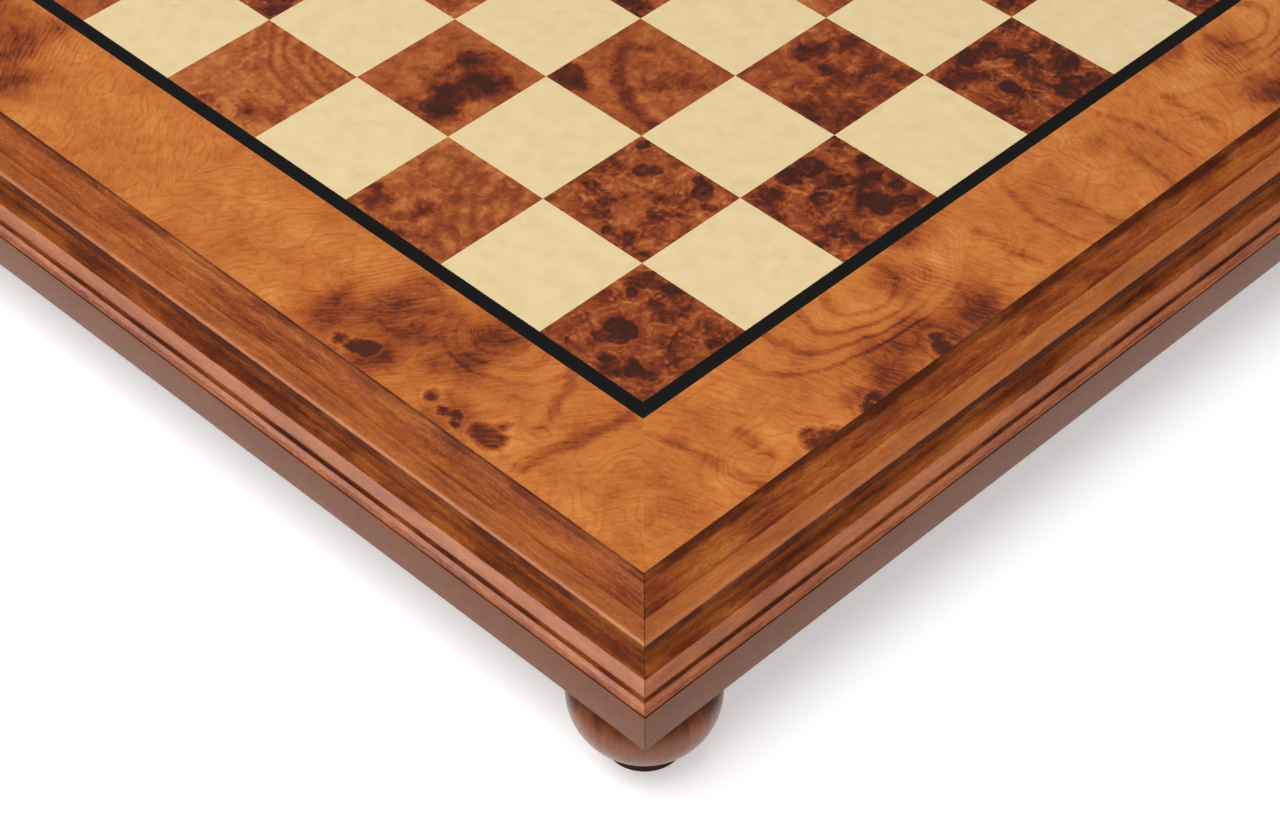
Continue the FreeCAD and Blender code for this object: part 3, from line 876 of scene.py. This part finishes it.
def mouldRail(side, number, material):
    section, tones = railSection()
    # painted shade and highlight in long bands along the front and back rails
    for low, high, strength in moulding["streaks"].get(side, []):
        for index, (out, up) in enumerate(section):
            if low < out - halfPanel / mm < high and up > moulding["calmBelow"]:
                tones[index] += strength
    ease, gap = moulding["mitreEase"], moulding["mitreGap"]
    drawnIn = moveInwards(section[::-1], ease)[::-1]
    stations = [(drawnIn, -1, gap), (section, -1, gap + ease), (section, 1, gap + ease), (drawnIn, 1, gap)]
    points, grain, level, calm = [], [], [], []
    for ring, end, short in stations:
        for (out, up), tone in zip(ring, tones):
            along = end * (out - short)
            x, y = turnPoint(along, out, sideTurns[side])
            points.append((x * mm, y * mm, up * mm))
            grain.append((along + number * moulding["grainStep"], out, up))
            level.append(tone if ring is section else moulding["mitreTone"])
            calm.append(1.0 if up < moulding["calmBelow"] else 0.0)
    name, replaced = f"moulded_rail_{side}", [f"frame_rail_{side}"]
    faces, numbers = shellFaces(len(stations), len(section)), {"grain": grain, "tone": level, "calm": calm}
    smoothBelow = moulding["smoothBelow"]
    return newPiece(name, points, faces, material, replaced, numbers, smoothBelow)


frameColours = {
    "pore": (84, 33, 17),
    "dark": (110, 45, 22),
    "mid": (145, 69, 30),
    "light": (164, 84, 36),
    "gold": (188, 112, 48),
    # painted shade, with polish settled in the hollows, and painted highlight, with a little wear
    "sunk": (62, 24, 12),
    "highlightAndWear": (196, 120, 64),
    "dull": (124, 74, 45),
}

# how the frame and the feet are mixed: streaks are ((along, across, up) in mm, detail, roughness)
mahoganyMix = {
    "waves": (34, 4, 3),
    "streak": ((22, 1.5, 1.5), 4, 0.62),
    "blotch": ((34, 9, 9), 3, 0.6),
    "speck": ((2.4, 0.7, 0.7), 3, 0.65),
    "shares": (0.4, 0.4, 0.2),  # of streak, blotch and speck in the figure
    "colours": [(0.39, "dark"), (0.46, "mid"), (0.53, "light"), (0.62, "gold")],
    "pores": ((2.6, 0.4, 0.4), 2),
    "pore": (0.56, 0.72, 0.5),
    "calm": 0.8,
    # how strongly the painted shade and the painted highlight come in as the tone falls and rises
    "sunk": (0, -1.1, 0.85),
    "highlightAndWear": (0, 1.1, 0.66),
    # each of these runs from one value to another, and gives two numbers there
    "sunkByBlotch": (0.38, 0.62, 1.3, 0.7),
    "glossByCalm": (0, 1, 1, 0.42),
    "glossByTone": (-0.8, 0.1, 0.08, 0.48),
    "roughBySpeck": (0.3, 0.7, 0.22, 0.3),
    "relief": 0.002,
}


def mahogany(name):
    # reads from each point its tone, painted shade with settled polish below 0 and painted highlight with some
    # wear above 0, and how calm it is: no figure and a dull polish
    look, mix, figure = Finish(name), mahoganyMix, 0
    place = look.place("grain")
    tone, calm = look.amount("tone"), look.amount("calm")
    wavy = look.warped(place, *mix["waves"])
    streak = look.streaks(wavy, *mix["streak"])
    blotch = look.streaks(wavy, *mix["blotch"])
    speck = look.streaks(place, *mix["speck"])
    for noise, share in zip((streak, blotch, speck), mix["shares"]):
        figure = look.calc("MULTIPLY_ADD", noise, share, figure)
    colour = look.ramp(figure, [(at, frameColours[wood]) for at, wood in mix["colours"]])
    pores = look.streaks(place, *mix["pores"])
    colour = look.mix(look.mark(pores, mix["pore"]), colour, frameColours["pore"])
    colour = look.mix(look.calc("MULTIPLY", calm, mix["calm"]), colour, frameColours["dull"])
    # painted shade, with settled polish, where the tone is below 0, patchy with the blotches, and painted
    # highlight, with a little wear, where it is above 0
    deepened = look.calc("MULTIPLY", tone, look.fade(blotch, *mix["sunkByBlotch"]))
    colour = look.mix(look.mark(deepened, mix["sunk"]), colour, frameColours["sunk"])
    colour = look.mix(look.mark(tone, mix["highlightAndWear"]), colour, frameColours["highlightAndWear"])
    calmGloss, toneGloss = mix["glossByCalm"], mix["glossByTone"]
    gloss = look.calc("MULTIPLY", look.fade(calm, *calmGloss), look.fade(tone, *toneGloss))
    roughness = look.fade(speck, *mix["roughBySpeck"])
    return look.surface(colour, roughness, speck, mix["relief"], **{"Specular IOR Level": gloss})


frameWood = mahogany("mahogany frame")
for number, side in enumerate(sideTurns):
    mouldRail(side, number, frameWood)
print("frame moulded")


# the turned feet with their pads, in mm
turning = {
    "radius": 26.1,
    "arcOffset": 2.1,  # how far off the axis the middle of the ball's arc is
    "baseRadius": 13.7,
    "setback": 26.5,  # from the frame's outer faces to the foot's axis
    "ballTone": -0.1,  # how dark the ball is painted, on the scale of painted shade and highlight of the mouldings
    "ballCalm": 0.5,
    "shadowFrom": 25.0,  # above this height the ball is painted darker, a painted shadow of the frame above it
    "shadowRise": 0.1,  # by so much each mm
    "grainStep": (300, 40),  # moves the figure from one foot to the next, along and across
    "boreRadius": 2.5,
    "counterboreRadius": 5.5,
    "counterboreDepth": 11.8,
    "edgeEase": 0.4,
    "quirkEase": 0.1,
    "ballSteps": 48,
    "turnSteps": 96,
    "smoothBelow": 35,  # degrees
    "padRadius": 13.6,
    "padHole": 0.6,
    "padEase": 0.5,
}


def lathed(name, outline, corner, material, replaced, number):
    # turns a closed clockwise outline in mm, (out, up), about the upright axis of a foot
    points, grain, tone = [], [], []
    steps = turning["turnSteps"]
    alongStep, acrossStep = turning["grainStep"]
    axis = [way * (railHigh.y - turning["setback"] * mm) for way in cornerWays[corner]]
    for step in range(steps):
        for out, up in outline:
            x, y = turnPoint(out, 0, 360 * step / steps)
            points.append((axis[0] + x * mm, axis[1] + y * mm, up * mm))
            grain.append((up + number * alongStep, x + number * acrossStep, y))
            # painted shadow of the frame: the ball gets darker towards its top
            shadowOfFrame = (turning["shadowFrom"] - up) * turning["shadowRise"]
            tone.append(min(turning["ballTone"], shadowOfFrame))
    faces, smoothBelow = wallFaces(steps, len(outline), closed=True), turning["smoothBelow"]
    numbers = {"grain": grain, "tone": tone, "calm": [turning["ballCalm"]] * len(points)}
    return newPiece(f"{name}_{corner}", points, faces, material, replaced, numbers, smoothBelow)


def footOutline(bottom, top):
    # from the inner edge of the bore's top, over the top and the ball, to the counterbore
    offset, steps = turning["arcOffset"], turning["ballSteps"]
    bore, counterbore = turning["boreRadius"], turning["counterboreRadius"]
    radius, base = turning["radius"] - offset, turning["baseRadius"] - offset
    middle = bottom + math.sqrt(radius**2 - base**2)
    topAngle = math.asin((top - middle) / radius)
    baseAngle = -math.acos(base / radius)
    outline = [Vector((bore, top))]
    for step in range(steps + 1):
        angle = topAngle + (baseAngle - topAngle) * step / steps
        outline.append(Vector((offset + radius * math.cos(angle), middle + radius * math.sin(angle))))
    seat = bottom + turning["counterboreDepth"]
    outline += [Vector((counterbore, bottom)), Vector((counterbore, seat)), Vector((bore, seat))]
    return softened(outline, [0.0] * len(outline), turning["edgeEase"], turning["quirkEase"])[0]


def padOutline(top):
    radius, hole, ease = turning["padRadius"], turning["padHole"], turning["padEase"]
    outline = [Vector((hole, top)), Vector((radius, top)), Vector((radius, 0)), Vector((hole, 0))]
    return softened(outline, [0.0] * len(outline), ease, ease)[0]


feltMix = {
    "colours": [(0.3, (48, 26, 22)), (0.7, (92, 58, 50))],
    "fuzz": (0.5, 4, 0.7),
    "roughness": 0.95,
    "relief": 0.15,
}


def padFelt():
    look = Finish("dark felt")
    fuzz = look.noise(look.place("grain"), *feltMix["fuzz"])
    return look.surface(look.ramp(fuzz, feltMix["colours"]), feltMix["roughness"], fuzz, feltMix["relief"])


def turnFeet():
    wood, felt = mahogany("mahogany foot"), padFelt()
    for number, corner in enumerate(cornerWays, 1):
        low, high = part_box(f"foot_{corner}")
        outline = footOutline(low.z / mm, high.z / mm)
        lathed("ball_foot", outline, corner, wood, [f"foot_{corner}"], number)
        lathed("felt_pad", padOutline(low.z / mm), corner, felt, [f"foot_pad_{corner}"], number)


# the hidden woods, raw or thinly sealed: two colours, and the length, width and depth of their streaks
hiddenWoods = {
    "panel core": ((150, 112, 74), (176, 140, 98), (60, 1.4, 1.4)),
    "backing veneer": ((112, 58, 32), (158, 92, 54), (1.4, 60, 1.4)),
    "spline wood": ((180, 140, 94), (206, 170, 122), (60, 1.4, 1.4)),
}
hiddenMix = {"detail": 4, "rough": 0.6, "ramp": (0.3, 0.7), "roughness": 0.6, "relief": 0.02}

steelMix = {
    "colours": [(0.3, (150, 146, 138)), (0.7, (196, 192, 184))],
    "rings": ((3, 3, 0.15), 3, 0.6),
    "roughByRings": (0.3, 0.7, 0.28, 0.42),
    "relief": 0.01,
}


def plainWood(name):
    dark, light, size = hiddenWoods[name]
    look = Finish(name)
    streak = look.streaks(look.cadPlace(), size, hiddenMix["detail"], hiddenMix["rough"])
    colour = look.ramp(streak, list(zip(hiddenMix["ramp"], (dark, light))))
    return look.surface(colour, hiddenMix["roughness"], streak, hiddenMix["relief"])


def brushedSteel():
    look = Finish("screw steel")
    rings = look.streaks(look.cadPlace(), *steelMix["rings"])
    colour, roughness = look.ramp(rings, steelMix["colours"]), look.fade(rings, *steelMix["roughByRings"])
    return look.surface(colour, roughness, rings, steelMix["relief"], Metallic=1.0)


def coat(node, material):
    # the CAD piece stays and only takes the finish
    cadNodes[node].data.materials.clear()
    cadNodes[node].data.materials.append(material)


turnFeet()
coat("core_panel", plainWood("panel core"))
coat("backing_veneer", plainWood("backing veneer"))
splineWood, steel = plainWood("spline wood"), brushedSteel()
for corner in cornerWays:
    coat(f"mitre_spline_{corner}", splineWood)
    coat(f"foot_screw_{corner}", steel)
print("feet turned, hidden pieces finished")


# floor and light, in metres
studio = {
    "floorReach": 8.0,
    "floorDrop": 0.05 * mm,  # just clear of the pads
    "floorWhite": 0.8,
    "floorGlow": 0.48,  # added for what the camera, a reflection or glass sees of the floor
    "farGlow": 1.0,  # the same far from the board, where the lamps hardly reach
    "farFade": (0.7, 2.2),
    # the room's glow from the horizon up: white low down, dim above (heights are sines of the angle)
    "horizonGlow": 1.0,
    "ceilingGlow": 0.1,
    "glowFade": (0.05, 0.34),
    # soft lamps, all turned to the board: place, width and watts; the two at the sides give the mouldings
    # their shine and the one above the camera lights the rest
    "lamps": {
        "left": ((-1.2, 1.15, 2.0), 1.3, 17.8),
        "right": ((0.95, -1.2, 2.0), 1.3, 6.5),
        "above": ((-0.95, -0.3, 2.3), 1.8, 45.5),
    },
}


def layFloor():
    look = Finish("studio floor")
    rays = look.node("ShaderNodeLightPath")
    seen = look.calc("MAXIMUM", rays.outputs["Is Camera Ray"], rays.outputs["Is Glossy Ray"])
    seen = look.calc("MAXIMUM", seen, rays.outputs["Is Transmission Ray"])
    away = look.vector("LENGTH", look.node("ShaderNodeTexCoord").outputs["Object"])
    white = look.fade(away, *studio["farFade"], studio["floorGlow"], studio["farGlow"])
    glow = look.node("ShaderNodeEmission", {"Strength": look.calc("MULTIPLY", seen, white)})
    matt = look.node("ShaderNodeBsdfDiffuse", {"Color": (*[studio["floorWhite"]] * 3, 1)})
    both = look.node("ShaderNodeAddShader", {0: matt.outputs[0], 1: glow.outputs[0]})
    look.node("ShaderNodeOutputMaterial", {"Surface": both.outputs[0]})
    reach = studio["floorReach"]
    corners = [(-reach, -reach, 0), (reach, -reach, 0), (reach, reach, 0), (-reach, reach, 0)]
    mesh = bpy.data.meshes.new("floor")
    mesh.from_pydata(corners, [], [(0, 1, 2, 3)])
    mesh.materials.append(look.material)
    floor = bpy.data.objects.new("floor", mesh)
    floor.location.z = -studio["floorDrop"]
    bpy.context.scene.collection.objects.link(floor)


def lightRoom():
    world = bpy.data.worlds.new("studio")
    bpy.context.scene.world = world
    room = Finish("studio", world)
    way = room.node("ShaderNodeTexCoord").outputs["Generated"]
    height = room.node("ShaderNodeSeparateXYZ", {0: way}).outputs["Z"]
    glow = room.fade(height, *studio["glowFade"], studio["horizonGlow"], studio["ceilingGlow"])
    background = room.node("ShaderNodeBackground", {"Strength": glow})
    room.node("ShaderNodeOutputWorld", {"Surface": background.outputs[0]})

    for name, (place, width, watts) in studio["lamps"].items():
        lamp = bpy.data.lights.new(name, "AREA")
        lamp.size, lamp.energy = width, watts
        holder = bpy.data.objects.new(name, lamp)
        holder.location = place
        holder.rotation_mode = "QUATERNION"
        holder.rotation_quaternion = (-holder.location).to_track_quat("-Z", "Y")
        holder.visible_camera = False
        bpy.context.scene.collection.objects.link(holder)


photoCamera = {
    "place": (-0.7934, -0.7894, 0.8672),
    "azimuth": -45.124,
    "elevation": 43.619,
    "roll": -0.147,
    "lens": 96.5,
    "sensor": 36.0,
}


def setCamera():
    data = bpy.data.cameras.new("camera")
    data.lens = photoCamera["lens"]
    data.sensor_width = photoCamera["sensor"]
    camera = bpy.data.objects.new("camera", data)
    turn, rise = math.radians(photoCamera["azimuth"]), math.radians(photoCamera["elevation"])
    back = Vector((math.sin(turn) * math.cos(rise), -math.cos(turn) * math.cos(rise), math.sin(rise)))
    level = (-back).to_track_quat("-Z", "Y")
    camera.rotation_mode = "QUATERNION"
    camera.rotation_quaternion = level @ Quaternion((0, 0, 1), math.radians(photoCamera["roll"]))
    camera.location = photoCamera["place"]
    bpy.context.scene.collection.objects.link(camera)
    bpy.context.scene.camera = camera


layFloor()
lightRoom()
setCamera()
bpy.context.scene.view_settings.view_transform = "Standard"
print("floor, light and camera set")
